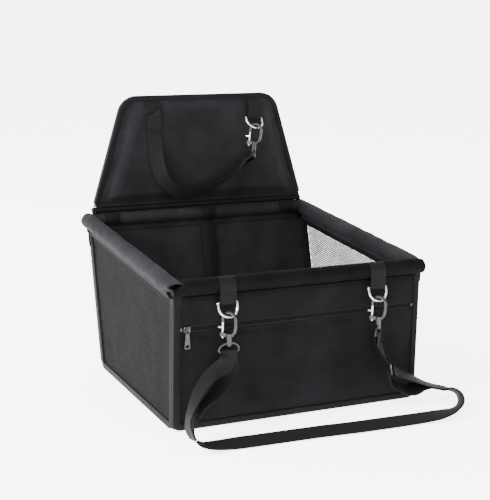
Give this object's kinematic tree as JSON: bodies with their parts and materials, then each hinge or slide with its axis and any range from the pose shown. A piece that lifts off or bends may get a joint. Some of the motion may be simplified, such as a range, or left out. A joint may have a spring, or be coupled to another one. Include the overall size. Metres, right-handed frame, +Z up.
{
  "type": "dog car seat",
  "caption": "Open-topped padded car booster seat for a small dog, with netting sides, a zipped front pocket, an upright rear flap, and snap hooks on a long adjustable strap.",
  "frame": {"origin": "middle of the base's underside, on the surface that the seat stands on", "axes": "+Z up along the upright flap, -Y towards the front with the zipped pocket, +X towards the right side seen from the front"},
  "size_m": [0.474, 0.5034, 0.4358],
  "materials": {
    "oxford_cloth": "black oxford cloth, plain weave, coated inside",
    "lining": "black quilted lining cloth, matt",
    "binding_tape": "black woven binding tape with a stitch line",
    "webbing": "black polypropylene webbing, ribbed along its length",
    "netting": "dark grey breathable netting",
    "tube_plastic": "white plastic tube",
    "stiffener": "grey plastic board inside the cloth",
    "nickel": "polished nickel plate",
    "dark_nickel": "dark nickel plate on cast zinc",
    "zip_coil": "black nylon zip coil"
  },
  "bodies": {
    "root": {"adjuster": "dark_nickel", "back_binding": "binding_tape", "back_panel": "oxford_cloth", "back_sleeve": "oxford_cloth", "back_tube": "tube_plastic", "back_wall_strap": "webbing", "base_board": "stiffener", "base_panel": "oxford_cloth", "floor_pad": "lining", "front_binding": "binding_tape", "front_panel": "lining", "front_sleeve": "oxford_cloth", "front_tube": "tube_plastic", "front_upper_cloth": "oxford_cloth", "left_binding": "binding_tape", "left_net": "netting", "left_patch": "webbing", "left_sleeve": "oxford_cloth", "left_tab": "webbing", "left_tube": "tube_plastic", "pocket_panel": "oxford_cloth", "right_binding": "binding_tape", "right_net": "netting", "right_patch": "webbing", "right_sleeve": "oxford_cloth", "right_tab": "webbing", "right_tube": "tube_plastic", "strap_end": "webbing", "strap_inner": "webbing", "strap_outer": "webbing", "zip_stop_left": "dark_nickel", "zip_stop_right": "dark_nickel", "zip_tape_lower": "binding_tape", "zip_tape_upper": "binding_tape", "zip_teeth": "zip_coil"},
    "flap": {"flap_back_cover": "oxford_cloth", "flap_bead": "binding_tape", "flap_binding": "binding_tape", "flap_board": "stiffener", "flap_pad": "oxford_cloth", "flap_strap": "webbing", "flap_tab_left": "webbing", "flap_tab_right": "webbing"},
    "zip_slider": {"zip_slider": "dark_nickel"},
    "zip_pull": {"zip_pull": "dark_nickel"},
    "left_eye": {"left_eye": "dark_nickel"},
    "left_d_ring": {"left_d_ring": "nickel"},
    "left_claw": {"left_claw": "dark_nickel"},
    "left_bolt": {"left_bolt": "nickel"},
    "right_eye": {"right_eye": "dark_nickel"},
    "right_d_ring": {"right_d_ring": "nickel"},
    "right_claw": {"right_claw": "dark_nickel"},
    "right_bolt": {"right_bolt": "nickel"},
    "flap_eye": {"flap_eye": "dark_nickel"},
    "flap_d_ring": {"flap_d_ring": "nickel"},
    "flap_claw": {"flap_claw": "dark_nickel"},
    "flap_bolt": {"flap_bolt": "nickel"}
  },
  "joints": [
    {"name": "flap_hinge", "type": "hinge", "parent": "root", "child": "flap", "pos_m": [0, 0.22306, 0.24872], "axis": [1, 0, 0], "range_deg": [-110, 82]},
    {"name": "zip_slide", "type": "slide", "parent": "root", "child": "zip_slider", "axis": [1, 0, 0], "range_m": [-0.0014, 0.3614]},
    {"name": "zip_pull_swing", "type": "hinge", "parent": "zip_slider", "child": "zip_pull", "pos_m": [-0.18, -0.16207, 0.149], "axis": [-1, 0, 0], "range_deg": [0, 150]},
    {"name": "left_hook_swing", "type": "hinge", "parent": "root", "child": "left_eye", "pos_m": [-0.1215, -0.16635, 0.185], "axis": [-1, 0, 0], "range_deg": [0, 75], "deforming": ["strap_outer", "strap_inner"]},
    {"name": "left_ring_swing", "type": "hinge", "parent": "root", "child": "left_d_ring", "pos_m": [-0.1215, -0.16635, 0.185], "axis": [-1, 0, 0], "range_deg": [0, 75]},
    {"name": "left_claw_swivel", "type": "hinge", "parent": "left_eye", "child": "left_claw", "pos_m": [-0.1215, -0.17363, 0.12878], "axis": [0, 0, 1], "range_deg": [-12, 0]},
    {"name": "left_trigger", "type": "slide", "parent": "left_claw", "child": "left_bolt", "axis": [0, 0, -1], "range_m": [0, 0.0055], "stiffness_N_per_m": 300, "springref_m": -0.003},
    {"name": "right_hook_swing", "type": "hinge", "parent": "root", "child": "right_eye", "pos_m": [0.1215, -0.16635, 0.185], "axis": [-1, 0, 0], "range_deg": [0, 75], "deforming": ["strap_end"]},
    {"name": "right_ring_swing", "type": "hinge", "parent": "root", "child": "right_d_ring", "pos_m": [0.1215, -0.16635, 0.185], "axis": [-1, 0, 0], "range_deg": [0, 75]},
    {"name": "right_claw_swivel", "type": "hinge", "parent": "right_eye", "child": "right_claw", "pos_m": [0.1215, -0.17363, 0.12878], "axis": [0, 0, 1], "range_deg": [-12, 0]},
    {"name": "right_trigger", "type": "slide", "parent": "right_claw", "child": "right_bolt", "axis": [0, 0, -1], "range_m": [0, 0.0055], "stiffness_N_per_m": 300, "springref_m": -0.003},
    {"name": "flap_hook_swing", "type": "hinge", "parent": "flap", "child": "flap_eye", "pos_m": [0.0931, 0.20963, 0.39535], "axis": [-0.9936, 0.0045, 0.1131], "range_deg": [0, 75], "deforming": ["flap_strap"]},
    {"name": "flap_ring_swing", "type": "hinge", "parent": "flap", "child": "flap_d_ring", "pos_m": [0.0931, 0.20963, 0.39535], "axis": [-0.9936, 0.0045, 0.1131], "range_deg": [0, 75]},
    {"name": "flap_claw_swivel", "type": "hinge", "parent": "flap_eye", "child": "flap_claw", "pos_m": [0.08711, 0.19442, 0.34328], "axis": [0.1132, 0.0399, 0.9928], "range_deg": [-10, 0]},
    {"name": "flap_trigger", "type": "slide", "parent": "flap_claw", "child": "flap_bolt", "axis": [-0.1132, -0.0399, -0.9928], "range_m": [0, 0.0055], "stiffness_N_per_m": 300, "springref_m": -0.003}
  ],
  "couplings": [
    {"joint": "left_ring_swing", "follows": "left_hook_swing", "ratio": 1},
    {"joint": "right_ring_swing", "follows": "right_hook_swing", "ratio": 1},
    {"joint": "flap_ring_swing", "follows": "flap_hook_swing", "ratio": 1}
  ]
}
